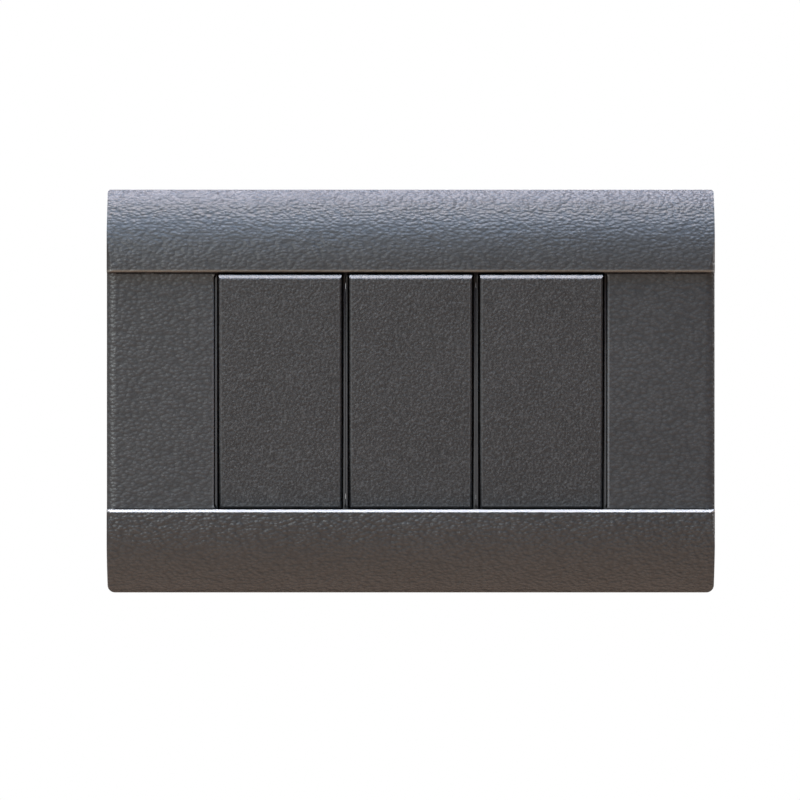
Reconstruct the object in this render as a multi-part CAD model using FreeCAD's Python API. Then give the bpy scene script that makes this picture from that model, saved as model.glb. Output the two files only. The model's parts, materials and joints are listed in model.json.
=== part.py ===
import FreeCAD, Part
import math
import os

from FreeCAD import Vector

# Wall plate with three rocker switch modules on a mounting frame.
# Millimetres. X is the width, Z is up, the front faces -Y and the wall's face is Y = 0.

# Cover plate
PLATE_WIDTH = 116.5
PLATE_HEIGHT = 77.5
UPPER_CORNER = 0.6
LOWER_CORNER = 1.4
PLATE_WALL = 2.0
RIM_ROUND = 0.6
INNER_RIM_ROUND = 0.2
INNER_SIDE_ARC = 0.8
SIDE_ARC_SHARE = 0.7
BAND_FRONT = 9.6
BAND_ARC = 21.0
BAND_ARC_START = 23.3
BAND_SIDE_ARC = 1.2
BAND_SIDE_START = 57.06
PANEL_FRONT = 8.4
PANEL_SIDE_ARC = 2.31
PANEL_SIDE_START = 56.5
UPPER_BAND_ROUND = 0.4
LOWER_BAND_BEVEL = 0.5
OPENING_HALF_WIDTH = 37.7
OPENING_HALF_HEIGHT = 22.72
OPENING_CORNER = 0.8
OPENING_BEVEL = 0.3
STEP_GROOVE_WIDTH = 0.25
STEP_GROOVE_DEPTH = 0.3
MODULE_RELIEF_HALF_HEIGHT = 23.65
MODULE_RELIEF_FRONT = 7.5
RIB_THICKNESS = 1.2
RIB_REAR = 2.7
RIB_POSITIONS = (-46.0, -31.0, -16.0, 16.0, 31.0, 46.0)
PRY_NOTCH_WIDTH = 8.0
PRY_NOTCH_HEIGHT = 1.2

# Legs that hold the cover plate on the mounting frame
LEG_LENGTH = 6.0
LEG_THICKNESS = 1.4
LEG_TIP = 0.6
LEG_CLEARANCE = 0.05
CORNER_LEG_X = 50.0
CORNER_LEG_Z = 25.0
MIDDLE_LEG_Z = 30.5

# Mounting frame
FRAME_HALF_WIDTH = 54.5
FRAME_HALF_HEIGHT = 35.5
FRAME_CORNER = 3.0
FRAME_FRONT = 2.2
FRAME_OPENING_HALF_WIDTH = 37.55
FRAME_OPENING_HALF_HEIGHT = 20.8
FRAME_RAIL_Z = 24.0
FRAME_RAIL_THICKNESS = 1.4
FRAME_RAIL_FRONT = 5.6
FRAME_WINDOW_Z = (27.0, 33.0)
FRAME_WINDOW_X = (9.0, 36.0)
SNAP_HALF_WIDTH = 4.0
SNAP_HEIGHT = 0.75
SNAP_DEPTH = 1.0
SNAP_CLEARANCE = 0.2

# Screws into the flush box
BOX_SCREW_X = 41.75
BOX_SCREW_RADIUS = 1.75
BOX_SCREW_END = 22.0
BOX_TIP_LENGTH = 0.8
BOX_NECK_RADIUS = 1.25
BOX_NECK_END = 0.5
BOX_HEAD_RADIUS = 3.3
BOX_HEAD_HEIGHT = 2.2
BOX_SLOT_HALF_WIDTH = 2.05
BOX_SLOT_LENGTH = 7.0

# Module grid and bezel
MODULE_NAMES = ("left", "middle", "right")
MODULE_PITCH = 25.0
BEZEL_HALF_WIDTH = 12.46
BEZEL_HALF_HEIGHT = 23.35
LIP_HALF_WIDTH = 12.16
LIP_FRONT = 8.0
LIP_REAR = 6.8
WALL_HALF_WIDTH = 12.04
WALL_HALF_HEIGHT = 22.75
WALL_FRONT = 7.2
LIP_HALF_HEIGHT = 22.3
DECK_FRONT = 3.1
DECK_WINDOW_HALF_WIDTH = 10.0
DECK_WINDOW_HALF_HEIGHT = 6.5
TONGUE_HALF_WIDTH = 5.0
TONGUE_Z = (17.9, 19.1)
TONGUE_END = 2.0

# Rocker key and its pivot
KEY_HALF_WIDTH = 11.72
KEY_HALF_HEIGHT = 22.42
KEY_FRONT = 8.6
KEY_REAR = 5.1
KEY_SKIN = 1.3
KEY_TOP_BEVEL = 0.75
KEY_BOTTOM_BEVEL = 0.45
KEY_SIDE_BEVEL = 0.35
KEY_EDGE_ROUND = 0.15
KEY_TILT = 4.0
PIVOT_DEPTH = 5.8

# Cradle, plunger and spring
CRADLE_HALF_WIDTH = 7.6
CRADLE_HALF_HEIGHT = 9.0
CRADLE_THICKNESS = 1.1
TRUNNION_RADIUS = 0.8
TRUNNION_END = 9.9
TUBE_RADIUS = 3.0
TUBE_BORE = 2.06
TUBE_END = 1.5
TUBE_FLOOR = -5.5
PLUNGER_RADIUS = 2.0
PLUNGER_SHOULDER = -1.2
PLUNGER_DOME_CENTRE = 2.2
SPRING_RADIUS = 1.5
SPRING_WIRE = 0.2
SPRING_TURNS = 5.5

# Switch body
BODY_HALF_WIDTH = 12.3
BODY_HALF_HEIGHT = 20.5
BODY_CORNER = 0.6
BODY_REAR = 25.4
BODY_WALL = 1.2
BODY_GROOVE_X = (-8.5, 8.5)
BODY_GROOVE_WIDTH = 0.8
BODY_GROOVE_DEPTH = 0.3
REAR_COVER_Y = (25.5, 27.0)
REAR_COVER_GAP = 0.1
PARTITION_Z = (8.4, 9.6)
PARTITION_FRONT = 11.5
CELL_WALL_X = (4.0, 5.2)
ENTRY_FUNNEL = 0.7
TEST_HOLE_RADIUS = 1.0
TEST_HOLE_X = 8.0
REAR_RIB_HALF_WIDTH = 8.0
REAR_RIB_HALF_HEIGHT = 0.6
REAR_RIB_HEIGHT = 0.6
LUG_X = (8.2, 9.8)
LUG_HALF_HEIGHT = 2.0
LUG_TIP = 6.35
LUG_FOOT = 2.0
LUG_CLEARANCE = 0.05
STOP_BAR_Z = (6.6, 7.6)
STOP_BAR_Y = (7.1, 8.7)

# Contacts
ROCKER_RATIO = 2.2
ROCKER_PIVOT = 5.4
ROCKER_HALF_WIDTH = 2.6
ROCKER_BACK = 5.8
ROCKER_ARM_FRONT = 5.0
ROCKER_SEAT_FRONT = 4.23
ROCKER_SEAT_HALF_HEIGHT = 2.2
ROCKER_TOP = 8.0
ROCKER_BOTTOM = 11.2
CONTACT_Z = -9.6
CONTACT_RADIUS = 1.6
CONTACT_DISC = 0.4
CONTACT_DOME = 4.0
FIXED_CONTACT_THICKNESS = 0.8
CONTACT_CLEARANCE = 0.04
KNIFE_CLEARANCE = 0.03

# Terminals
CAGE_HALF_WIDTH = 3.9
CAGE_Z = (10.6, 17.6)
CAGE_Y = (10.0, 25.4)
CAGE_WALL = 1.0
STRAP_HALF_WIDTH = 2.2
STRAP_THICKNESS = 1.0
TERMINAL_SCREW_Y = 18.0
TERMINAL_SCREW_RADIUS = 1.5
TERMINAL_NECK_RADIUS = 1.1
TERMINAL_HEAD_RADIUS = 2.6
TERMINAL_HEAD_Z = (18.3, 20.0)
TERMINAL_WELL_RADIUS = 3.0
CLAMP_HALF_WIDTH = 2.6
CLAMP_Z = (15.75, 16.45)
CLAMP_Y = (13.5, 22.5)

X_AXIS = Vector(1, 0, 0)
Y_AXIS = Vector(0, 1, 0)
Z_AXIS = Vector(0, 0, 1)


def block(x, y, z):
    """A box from its low and high limits along each axis."""
    size = (x[1] - x[0], y[1] - y[0], z[1] - z[0])
    return Part.makeBox(*size, Vector(x[0], y[0], z[0]))


def centred(half_x, y, half_z):
    """A box centred on the Y axis."""
    return block((-half_x, half_x), y, (-half_z, half_z))


def rounded_block(half_x, y, half_z, radius):
    """A centred box whose four edges along Y are rounded."""
    shape = centred(half_x, y, half_z)
    edges = [e for e in shape.Edges if abs(e.tangentAt(e.FirstParameter).y) > 0.99]
    return shape.makeFillet(radius, edges)


def rod(radius, start, end):
    """A cylinder from one point to another."""
    span = end.sub(start)
    return Part.makeCylinder(radius, span.Length, start, span)


def fuse(shapes):
    """One solid from several that touch or overlap."""
    result = shapes[0]
    for shape in shapes[1:]:
        result = result.fuse(shape)
    return result.removeSplitter()


def flipped(shape):
    """The shape's mirror image about the horizontal middle plane."""
    return shape.mirror(Vector(0, 0, 0), Z_AXIS)


def both_ends(shape):
    """The shape and its image at the other end of the module."""
    return [shape, flipped(shape)]


def both_sides(shape):
    """The shape and its image on the other side of the middle."""
    return [shape, shape.mirror(Vector(0, 0, 0), X_AXIS)]


def outline_face(points, arcs):
    """A flat face from a loop of points; arcs maps a start index to a point on its arc."""
    edges = []
    for index, start in enumerate(points):
        end = points[(index + 1) % len(points)]
        if index in arcs:
            edges.append(Part.Arc(start, arcs[index], end).toShape())
        else:
            edges.append(Part.makeLine(start, end))
    return Part.Face(Part.Wire(edges))


def arc_point(centre, radius, angle):
    """The point on a circle, as (distance along the face, depth)."""
    along = centre[0] + radius * math.sin(math.radians(angle))
    depth = centre[1] - radius * math.cos(math.radians(angle))
    return along, depth


def crowned_outline(start, arc_start, end, front, radius, rear, edge, rim_round, bevelled=False):
    """Loop of (distance, depth) points of a flat front that rolls off in an arc to its rim.

    The edge at the start is rounded, or cut off at 45 degrees if it is bevelled.
    """
    centre = (arc_start, radius - front)
    rim_reach = radius - rim_round
    lean = math.degrees(math.asin((end - rim_round - arc_start) / rim_reach))
    rim_centre = arc_point(centre, rim_reach, lean)
    corner = 0.2929 * edge
    points = [
        (start, rear),
        (start, edge - front),
        (start + edge, -front),
        (arc_start, -front),
        arc_point(centre, radius, lean),
        (end, rim_centre[1]),
        (end, rear),
    ]
    arcs = {
        3: arc_point(centre, radius, lean / 2),
        4: arc_point(rim_centre, rim_round, (lean + 90) / 2),
    }
    if not bevelled:
        arcs[1] = (start + corner, corner - front)
    return points, arcs


def band(inset, edge_size, bevelled, rear):
    """A band on the upper side, inset from its outer faces, with its crown and rolled-off sides."""
    front = BAND_FRONT - inset
    top = PLATE_HEIGHT / 2 - inset
    side = PLATE_WIDTH / 2 - inset
    edge = OPENING_HALF_HEIGHT + inset
    arc_start = max(BAND_ARC_START, edge + edge_size + 0.05)
    radius = BAND_ARC - inset
    points, arcs = crowned_outline(
        edge, arc_start, top, front, radius, rear, edge_size, rim_radius(inset), bevelled
    )
    section = outline_face(
        [Vector(-side, depth, z) for z, depth in points],
        {index: Vector(-side, depth, z) for index, (z, depth) in arcs.items()},
    )
    crown = section.extrude(Vector(2 * side, 0, 0))
    return crown.common(side_roll(inset, front, BAND_SIDE_START, BAND_SIDE_ARC, (edge, top), rear))


def rim_radius(inset):
    """Radius of the plate's rim, tighter on the inner face than on the outer one."""
    return max(RIM_ROUND - inset, INNER_RIM_ROUND)


def side_roll(inset, front, arc_start, radius, height, rear):
    """A bar across the plate whose front rolls off towards both sides."""
    side = PLATE_WIDTH / 2 - inset
    radius = max(radius - inset, INNER_SIDE_ARC)
    arc_start = min(arc_start, side - SIDE_ARC_SHARE * radius)
    points, arcs = crowned_outline(
        0.0, arc_start, side, front, radius, rear, 0.01, rim_radius(inset)
    )
    section = outline_face(
        [Vector(x, depth, height[0]) for x, depth in points],
        {index: Vector(x, depth, height[0]) for index, (x, depth) in arcs.items()},
    )
    half = section.extrude(Vector(0, 0, height[1] - height[0]))
    middle = block((-1.0, 1.0), (-front, rear), height)
    return fuse(both_sides(half) + [middle])


def plate_blank(inset, rear):
    """The plate's outer shape, moved inwards by the inset."""
    reach = OPENING_HALF_HEIGHT + inset + 1.0
    front = PANEL_FRONT - inset
    panel = side_roll(inset, front, PANEL_SIDE_START, PANEL_SIDE_ARC, (-reach, reach), rear)
    upper = band(inset, UPPER_BAND_ROUND, False, rear)
    lower = flipped(band(inset, LOWER_BAND_BEVEL, True, rear))
    above = upper_limits(inset, UPPER_CORNER, rear)
    below = flipped(upper_limits(inset, LOWER_CORNER, rear))
    return fuse([panel, upper, lower]).common(fuse([above, below]))


def upper_limits(inset, corner_radius, rear):
    """The upper half of a block as large as the plate, with its upright corners rounded."""
    depth = (-BAND_FRONT - 1.0, rear)
    half_width = PLATE_WIDTH / 2 - inset
    half_height = PLATE_HEIGHT / 2 - inset
    whole = rounded_block(half_width, depth, half_height, max(corner_radius - inset, 0.5))
    return whole.common(block((-PLATE_WIDTH, PLATE_WIDTH), depth, (0.0, PLATE_HEIGHT)))


def step_groove(side):
    """The shadow groove in the panel along the foot of one band."""
    edge = OPENING_HALF_HEIGHT
    height = (edge - STEP_GROOVE_WIDTH, edge) if side > 0 else (-edge, STEP_GROOVE_WIDTH - edge)
    depth = (-PANEL_FRONT - 0.5, STEP_GROOVE_DEPTH - PANEL_FRONT)
    return block((-PANEL_SIDE_START, PANEL_SIDE_START), depth, height)


def opening_bevel():
    """A prism that bevels the opening's upright edge on the +X side."""
    front = -PANEL_FRONT
    spare = 0.2
    corners = [
        (OPENING_HALF_WIDTH - spare, front - spare),
        (OPENING_HALF_WIDTH + OPENING_BEVEL + spare, front - spare),
        (OPENING_HALF_WIDTH - spare, front + OPENING_BEVEL + spare),
    ]
    end = OPENING_HALF_HEIGHT - OPENING_CORNER
    loop = [Vector(x, y, -end) for x, y in corners]
    return Part.Face(Part.makePolygon(loop + loop[:1])).extrude(Vector(0, 0, 2 * end))


def leg_places():
    """Centre and half sizes, as (x, z, half x, half z), of each leg of the cover."""
    half_length = LEG_LENGTH / 2
    half_thickness = LEG_THICKNESS / 2
    corners = [
        (x, z, half_thickness, half_length)
        for x in (-CORNER_LEG_X, CORNER_LEG_X)
        for z in (-CORNER_LEG_Z, CORNER_LEG_Z)
    ]
    middles = [(0.0, z, half_length, half_thickness) for z in (-MIDDLE_LEG_Z, MIDDLE_LEG_Z)]
    return corners + middles


def leg(place, gap, y):
    """One leg of the cover, or with a gap the socket that takes it."""
    x, z, half_x, half_z = place
    half_x += gap
    half_z += gap
    return block((x - half_x, x + half_x), y, (z - half_z, z + half_z))


def cover_plate():
    """The hollow cover with its opening, stiffening ribs and legs."""
    blank = plate_blank(0.0, 0.0)
    shell = blank.cut(plate_blank(PLATE_WALL, 1.0))
    through = (-BAND_FRONT - 1.0, 1.0)
    shell = shell.cut(rounded_block(OPENING_HALF_WIDTH, through, OPENING_HALF_HEIGHT, OPENING_CORNER))
    relief = (-MODULE_RELIEF_FRONT, 1.0)
    shell = shell.cut(centred(OPENING_HALF_WIDTH, relief, MODULE_RELIEF_HALF_HEIGHT))
    for tool in both_sides(opening_bevel()) + [step_groove(1), step_groove(-1)]:
        shell = shell.cut(tool)
    half_rib = RIB_THICKNESS / 2
    ribs = [
        block((x - half_rib, x + half_rib), (-BAND_FRONT, -RIB_REAR), z)
        for x in RIB_POSITIONS
        for z in ((26.0, PLATE_HEIGHT / 2), (-PLATE_HEIGHT / 2, -26.0))
    ]
    legs = [leg(place, 0.0, (-BAND_FRONT, -LEG_TIP)) for place in leg_places()]
    shell = fuse([shell] + [piece.common(blank) for piece in ribs + legs])
    half_notch = PRY_NOTCH_WIDTH / 2
    bottom = -PLATE_HEIGHT / 2
    notch_z = (bottom - 1.0, bottom + PLATE_WALL + 1.0)
    return shell.cut(block((-half_notch, half_notch), (-PRY_NOTCH_HEIGHT, 1.0), notch_z))


def frame_windows():
    """The four openings that lighten the frame's upper and lower rails."""
    window = block(FRAME_WINDOW_X, (-FRAME_FRONT - 1.0, 1.0), FRAME_WINDOW_Z)
    edges = [e for e in window.Edges if abs(e.tangentAt(e.FirstParameter).y) > 0.99]
    window = window.makeFillet(1.5, edges)
    right = both_ends(window)
    return [piece for half in right for piece in both_sides(half)]


def snap_tooth(gap, y):
    """The tooth above a switch body, or with a gap the notch that takes it."""
    half = SNAP_HALF_WIDTH + gap
    low = BODY_HALF_HEIGHT - 0.3
    return block((-half, half), y, (low, BODY_HALF_HEIGHT + SNAP_HEIGHT + gap))


def mounting_frame():
    """The plate behind the cover that screws to the flush box and holds the modules."""
    y = (-FRAME_FRONT, 0.0)
    through = (-FRAME_FRONT - 1.0, 1.0)
    ring = rounded_block(FRAME_HALF_WIDTH, y, FRAME_HALF_HEIGHT, FRAME_CORNER)
    rail_z = (FRAME_RAIL_Z, FRAME_RAIL_Z + FRAME_RAIL_THICKNESS)
    rail = block((-FRAME_OPENING_HALF_WIDTH, FRAME_OPENING_HALF_WIDTH), (-FRAME_RAIL_FRONT, 0.0), rail_z)
    ring = fuse([ring] + both_ends(rail))
    ring = ring.cut(centred(FRAME_OPENING_HALF_WIDTH, through, FRAME_OPENING_HALF_HEIGHT))
    for x in module_positions():
        notch = snap_tooth(SNAP_CLEARANCE, (-SNAP_DEPTH - SNAP_CLEARANCE, 1.0))
        for piece in both_ends(notch):
            ring = ring.cut(piece.translated(Vector(x, 0, 0)))
    for place in leg_places():
        ring = ring.cut(leg(place, LEG_CLEARANCE, through))
    for window in frame_windows():
        ring = ring.cut(window)
    for x in (-BOX_SCREW_X, BOX_SCREW_X):
        ring = ring.cut(screw_slot(through).translated(Vector(x, 0, 0)))
    return ring


def screw_slot(y):
    """An upright slot with round ends for one box screw."""
    reach = BOX_SLOT_LENGTH / 2 - BOX_SLOT_HALF_WIDTH
    middle = centred(BOX_SLOT_HALF_WIDTH, y, reach)
    ends = [
        rod(BOX_SLOT_HALF_WIDTH, Vector(0, y[0], z), Vector(0, y[1], z))
        for z in (-reach, reach)
    ]
    return fuse([middle] + ends)


def domed_head(radius, height, seat_y):
    """A screw head with a domed face towards -Y and its flat seat at seat_y."""
    rim = 0.45 * height
    points = [
        Vector(0, seat_y, 0),
        Vector(radius, seat_y, 0),
        Vector(radius, seat_y - rim, 0),
        Vector(0, seat_y - height, 0),
    ]
    middle = Vector(0.72 * radius, seat_y - rim - 0.62 * (height - rim), 0)
    return outline_face(points, {2: middle}).revolve(Vector(0, 0, 0), Y_AXIS, 360)


def cross_recess(radius, y, width):
    """The cross-shaped drive recess of a screw head."""
    half = width / 2
    return fuse([centred(radius, y, half), centred(half, y, radius)])


def box_screw():
    """One pan-head screw, with its head on the frame's front and its tip inside the box."""
    seat = -FRAME_FRONT
    head = domed_head(BOX_HEAD_RADIUS, BOX_HEAD_HEIGHT, seat)
    shank_end = Vector(0, BOX_SCREW_END - BOX_TIP_LENGTH, 0)
    neck = rod(BOX_NECK_RADIUS, Vector(0, seat - 0.5, 0), Vector(0, BOX_NECK_END, 0))
    shank = rod(BOX_SCREW_RADIUS, Vector(0, BOX_NECK_END, 0), shank_end)
    tip = Part.makeCone(BOX_SCREW_RADIUS, 1.0, BOX_TIP_LENGTH, shank_end, Y_AXIS)
    screw = fuse([head, neck, shank, tip])
    top = seat - BOX_HEAD_HEIGHT
    return screw.cut(cross_recess(1.9, (top - 0.5, top + 1.3), 0.7))


def box_screws():
    """Both box screws as one group."""
    return Part.makeCompound([
        box_screw().translated(Vector(x, 0, 0)) for x in (-BOX_SCREW_X, BOX_SCREW_X)
    ])


def bezel():
    """The module's front surround: two thin side lips, two end walls and a windowed deck."""
    deck = centred(BEZEL_HALF_WIDTH, (-DECK_FRONT, -FRAME_FRONT), BEZEL_HALF_HEIGHT)
    window = centred(DECK_WINDOW_HALF_WIDTH, (-DECK_FRONT - 1.0, 1.0), DECK_WINDOW_HALF_HEIGHT)
    walls = centred(BEZEL_HALF_WIDTH, (-LIP_REAR, -FRAME_FRONT), BEZEL_HALF_HEIGHT)
    ends = centred(BEZEL_HALF_WIDTH, (-WALL_FRONT, -LIP_REAR), BEZEL_HALF_HEIGHT)
    lips = rounded_block(BEZEL_HALF_WIDTH, (-LIP_FRONT, -LIP_REAR), LIP_HALF_HEIGHT, OPENING_CORNER)
    well = centred(WALL_HALF_WIDTH, (-LIP_REAR, -DECK_FRONT), WALL_HALF_HEIGHT)
    mouth = centred(LIP_HALF_WIDTH, (-LIP_FRONT - 1.0, -LIP_REAR), WALL_HALF_HEIGHT)
    shape = fuse([deck, walls, ends, lips]).cut(well).cut(mouth).cut(window)
    tongue = block((-TONGUE_HALF_WIDTH, TONGUE_HALF_WIDTH), (-DECK_FRONT, TONGUE_END), TONGUE_Z)
    return fuse([shape] + both_ends(tongue))


def tilted(shape, angle):
    """The shape turned about the key's pivot axis."""
    return shape.rotated(Vector(0, -PIVOT_DEPTH, 0), X_AXIS, angle)


def key_blank(inset, rear):
    """The key's outer block, bevelled along all four front edges, moved inwards by the inset."""
    half_width = KEY_HALF_WIDTH - inset
    half_height = KEY_HALF_HEIGHT - inset
    front = KEY_FRONT - inset
    end_bevels = (KEY_BOTTOM_BEVEL, KEY_TOP_BEVEL)
    side_bevels = (KEY_SIDE_BEVEL, KEY_SIDE_BEVEL)
    upright = front_bevelled(half_height, half_width, front, rear, end_bevels, upright=True)
    level = front_bevelled(half_width, half_height, front, rear, side_bevels, upright=False)
    return upright.common(level)


def bevel_turns(half_span, front, bevel):
    """The small arcs at both ends of a bevel, from wall to front, as start, middle and end."""
    setback = KEY_EDGE_ROUND * math.tan(math.radians(22.5))
    wall_centre = (half_span - KEY_EDGE_ROUND, bevel - front + setback)
    front_centre = (half_span - bevel - setback, KEY_EDGE_ROUND - front)
    return [
        [arc_point(centre, KEY_EDGE_ROUND, angle + step) for step in (0.0, -22.5, -45.0)]
        for centre, angle in ((wall_centre, 90.0), (front_centre, 45.0))
    ]


def front_bevelled(half_span, half_length, front, rear, bevels, upright):
    """A bar with bevelled front corners, its span along Z if upright and along X if not."""
    turns = bevel_turns(half_span, front, bevels[1])
    for turn in reversed(bevel_turns(half_span, front, bevels[0])):
        turns.append([(-along, depth) for along, depth in reversed(turn)])
    points = [(half_span, rear)]
    arcs = {}
    for turn in turns:
        arcs[len(points)] = turn[1]
        points += [turn[0], turn[2]]
    points.append((-half_span, rear))

    def place(point):
        if upright:
            return Vector(-half_length, point[1], point[0])
        return Vector(point[0], point[1], -half_length)

    section = outline_face([place(p) for p in points], {i: place(p) for i, p in arcs.items()})
    length = 2 * half_length
    return section.extrude(Vector(length, 0, 0) if upright else Vector(0, 0, length))


def key():
    """The rocker key: a shallow tray with two clips for its cradle."""
    shape = key_blank(0.0, -KEY_REAR).cut(key_blank(KEY_SKIN, 1.0))
    skin = KEY_SKIN - KEY_FRONT
    cradle_rear = skin + CRADLE_THICKNESS
    near = CRADLE_HALF_HEIGHT + 0.05
    post = block((-3.0, 3.0), (skin - 0.1, cradle_rear + 0.75), (near, near + 0.9))
    catch = block((-3.0, 3.0), (cradle_rear + 0.05, cradle_rear + 0.75), (near - 0.5, near))
    rib = block((-0.5, 0.5), (skin - 0.1, skin + 0.7), (near + 2.5, KEY_HALF_HEIGHT - 0.5))
    return tilted(fuse([shape] + both_ends(fuse([post, catch])) + both_ends(rib)), KEY_TILT)


def cradle():
    """The carrier behind the key, with its two trunnions and the tube for the plunger."""
    skin = KEY_SKIN - KEY_FRONT
    plate = centred(CRADLE_HALF_WIDTH, (skin, skin + CRADLE_THICKNESS), CRADLE_HALF_HEIGHT)
    arm = block((CRADLE_HALF_WIDTH - 1.4, CRADLE_HALF_WIDTH), (skin, 1.0 - PIVOT_DEPTH), (-1.6, 1.6))
    pin_root = Vector(CRADLE_HALF_WIDTH - 0.5, -PIVOT_DEPTH, 0)
    pivot_pin = rod(TRUNNION_RADIUS, pin_root, Vector(TRUNNION_END, -PIVOT_DEPTH, 0))
    tube = rod(TUBE_RADIUS, Vector(0, skin + 0.2, 0), Vector(0, TUBE_END, 0))
    bore = rod(TUBE_BORE, Vector(0, TUBE_FLOOR, 0), Vector(0, TUBE_END + 1.0, 0))
    shape = fuse([plate, tube] + both_sides(fuse([arm, pivot_pin]))).cut(bore)
    return tilted(shape, KEY_TILT)


def plunger():
    """The sprung pin that rides over the contact rocker."""
    shoulder = Vector(0, PLUNGER_SHOULDER, 0)
    dome_centre = Vector(0, PLUNGER_DOME_CENTRE, 0)
    body = rod(PLUNGER_RADIUS, shoulder, dome_centre)
    dome = Part.makeSphere(PLUNGER_RADIUS, dome_centre)
    spigot = rod(SPRING_RADIUS - SPRING_WIRE - 0.15, Vector(0, PLUNGER_SHOULDER - 1.0, 0), dome_centre)
    return tilted(fuse([body, dome, spigot]), KEY_TILT)


def plunger_spring():
    """The compression spring between the tube's floor and the plunger's shoulder."""
    start = TUBE_FLOOR + SPRING_WIRE + 0.02
    height = PLUNGER_SHOULDER - SPRING_WIRE - 0.02 - start
    helix = Part.makeHelix(height / SPRING_TURNS, height, SPRING_RADIUS)
    section = Part.Wire(Part.makeCircle(SPRING_WIRE, Vector(SPRING_RADIUS, 0, 0), Y_AXIS))
    coil = Part.Wire(helix).makePipeShell([section], True, True)
    coil.rotate(Vector(0, 0, 0), X_AXIS, -90)
    coil.translate(Vector(0, start, 0))
    return tilted(coil, KEY_TILT)


def thrown(shape):
    """The shape turned about the contact rocker's pivot to its rest position."""
    return shape.rotated(Vector(0, ROCKER_PIVOT, 0), X_AXIS, -ROCKER_RATIO * KEY_TILT)


def contact_rocker():
    """The brass strip that tips on the knife edge and carries the moving contact."""
    width = (-ROCKER_HALF_WIDTH, ROCKER_HALF_WIDTH)
    arm = block(width, (ROCKER_ARM_FRONT, ROCKER_BACK), (-ROCKER_BOTTOM, ROCKER_TOP))
    seat = centred(ROCKER_HALF_WIDTH, (ROCKER_SEAT_FRONT, ROCKER_BACK), ROCKER_SEAT_HALF_HEIGHT)
    reach = ROCKER_BACK - ROCKER_PIVOT + 0.1
    notch = outline_face(
        [
            Vector(-5.0, ROCKER_PIVOT, 0),
            Vector(-5.0, ROCKER_PIVOT + reach, reach),
            Vector(-5.0, ROCKER_PIVOT + reach, -reach),
        ],
        {},
    ).extrude(Vector(10.0, 0, 0))
    return thrown(fuse([arm, seat]).cut(notch))


def moving_contact():
    """The domed silver tip riveted to the contact rocker."""
    disc_end = ROCKER_BACK + CONTACT_DISC
    sag = CONTACT_DOME - math.sqrt(CONTACT_DOME ** 2 - CONTACT_RADIUS ** 2)
    body = rod(CONTACT_RADIUS, Vector(0, ROCKER_BACK, CONTACT_Z), Vector(0, disc_end + sag, CONTACT_Z))
    ball = Part.makeSphere(CONTACT_DOME, Vector(0, disc_end + sag - CONTACT_DOME, CONTACT_Z))
    return thrown(body.common(ball))


def fixed_contact_face():
    """Depth of the fixed contact, where the closed rocker's dome just meets it."""
    sag = CONTACT_DOME - math.sqrt(CONTACT_DOME ** 2 - CONTACT_RADIUS ** 2)
    angle = math.radians(ROCKER_RATIO * KEY_TILT)
    ball = ROCKER_BACK + CONTACT_DISC + sag - CONTACT_DOME - ROCKER_PIVOT
    depth = ball * math.cos(angle) - CONTACT_Z * math.sin(angle)
    return ROCKER_PIVOT + depth + CONTACT_DOME + CONTACT_CLEARANCE


def fixed_contact():
    """The flat silver tip on the switched terminal."""
    front = Vector(0, fixed_contact_face(), CONTACT_Z)
    return rod(CONTACT_RADIUS, front, front + Vector(0, FIXED_CONTACT_THICKNESS, 0))


def terminal_cage():
    """The upper box clamp: a square tube open at the back, tapped for its screw."""
    outer = block((-CAGE_HALF_WIDTH, CAGE_HALF_WIDTH), CAGE_Y, CAGE_Z)
    inner_half = CAGE_HALF_WIDTH - CAGE_WALL
    inner_z = (CAGE_Z[0] + CAGE_WALL, CAGE_Z[1] - CAGE_WALL)
    inner = block((-inner_half, inner_half), (CAGE_Y[0] + CAGE_WALL, CAGE_Y[1] + 1.0), inner_z)
    inside = Vector(0, TERMINAL_SCREW_Y, CAGE_Z[0] + 3.0)
    outside = Vector(0, TERMINAL_SCREW_Y, CAGE_Z[1] + 1.0)
    tapped = rod(TERMINAL_SCREW_RADIUS, inside, outside)
    return outer.cut(inner).cut(tapped)


def common_terminal():
    """The knife edge that the contact rocker tips on, its strap and its box clamp."""
    tip = ROCKER_PIVOT + KNIFE_CLEARANCE
    strap_front = CAGE_Y[0] - STRAP_THICKNESS
    edge = outline_face(
        [
            Vector(-STRAP_HALF_WIDTH, tip, 0),
            Vector(-STRAP_HALF_WIDTH, tip + 1.6, 0.55),
            Vector(-STRAP_HALF_WIDTH, strap_front + 0.5, 0.55),
            Vector(-STRAP_HALF_WIDTH, strap_front + 0.5, -0.55),
            Vector(-STRAP_HALF_WIDTH, tip + 1.6, -0.55),
        ],
        {},
    ).extrude(Vector(2 * STRAP_HALF_WIDTH, 0, 0))
    width = (-STRAP_HALF_WIDTH, STRAP_HALF_WIDTH)
    strap = block(width, (strap_front, CAGE_Y[0]), (-1.5, CAGE_Z[0] + 3.0))
    return fuse([edge, strap, terminal_cage()])


def switched_terminal():
    """The strap behind the fixed contact and its box clamp."""
    front = fixed_contact_face() + FIXED_CONTACT_THICKNESS
    low = CONTACT_Z - CONTACT_RADIUS - 1.2
    high = CONTACT_Z + CONTACT_RADIUS + 0.4
    width = (-STRAP_HALF_WIDTH, STRAP_HALF_WIDTH)
    strap = block(width, (front, front + STRAP_THICKNESS), (low, high))
    joint = block(width, (front, CAGE_Y[0] + 0.5), (low, low + STRAP_THICKNESS))
    return fuse([strap, joint, flipped(terminal_cage())])


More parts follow.
